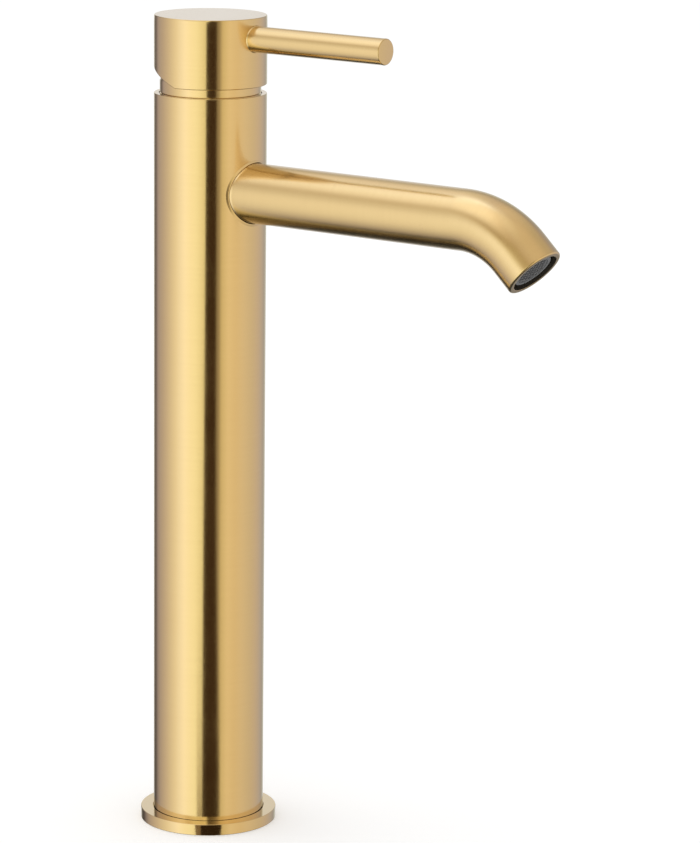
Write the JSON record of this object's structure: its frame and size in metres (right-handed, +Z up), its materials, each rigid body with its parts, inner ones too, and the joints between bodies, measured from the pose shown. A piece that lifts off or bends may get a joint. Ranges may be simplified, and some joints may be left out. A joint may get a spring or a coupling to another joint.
{
  "type": "bathroom mixer faucet",
  "caption": "Tall single-lever basin mixer in brushed gold: round column on a foot ring, level spout bent down at its end, and a round handle with a rod lever.",
  "frame": {"origin": "centre of the foot's underside, where the column's axis meets the deck", "axes": "+Z up along the column; the spout and the lever point to -Y; +X is to the right of someone who stands in front"},
  "size_m": [0.0556, 0.1916, 0.3314],
  "materials": {
    "gold": "brushed gold coating on brass",
    "raw_brass": "machined",
    "copper": "drawn copper pipe",
    "rubber": "matte",
    "grey_plastic": "moulded",
    "white_plastic": "moulded",
    "ceramic": "lapped ceramic",
    "steel": "plain"
  },
  "bodies": {
    "body": {"column_tube": "gold", "base_flange": "gold", "base_gasket": "rubber", "base_insert": "raw_brass", "riser_hot": "copper", "riser_cold": "copper", "riser_o_rings": "rubber", "valve_body": "raw_brass", "spout": "gold", "spout_tip": "gold", "spout_nipple": "raw_brass", "spout_o_rings": "rubber", "aerator_housing": "grey_plastic", "aerator_grille": "grey_plastic", "aerator_diffuser": "white_plastic", "aerator_seal": "rubber", "cartridge_base": "grey_plastic", "port_seals": "rubber", "disc_seals": "rubber", "fixed_disc": "ceramic", "cartridge_housing": "grey_plastic", "cartridge_nut": "raw_brass", "dome_cover": "gold"},
    "rotor": {"cartridge_rotor": "white_plastic", "stem_pin": "steel"},
    "slider": {"disc_carriage": "white_plastic", "moving_disc": "ceramic"},
    "handle": {"stem": "raw_brass", "handle_cap": "gold", "lever": "gold", "handle_set_screw": "steel", "handle_plug": "gold"}
  },
  "joints": [
    {"name": "temperature", "type": "hinge", "parent": "body", "child": "rotor", "pos_m": [0, 0, 0.298], "axis": [0, 0, 1], "range_deg": [-50, 50]},
    {"name": "lift", "type": "hinge", "parent": "rotor", "child": "handle", "pos_m": [0, 0, 0.298], "axis": [-1, 0, 0], "range_deg": [0, 22]},
    {"name": "disc_slide", "type": "slide", "parent": "rotor", "child": "slider", "axis": [0, -1, 0], "range_m": [0, 0.0045]}
  ],
  "couplings": [
    {"joint": "disc_slide", "follows": "lift", "m_per_rad": 0.011463}
  ]
}
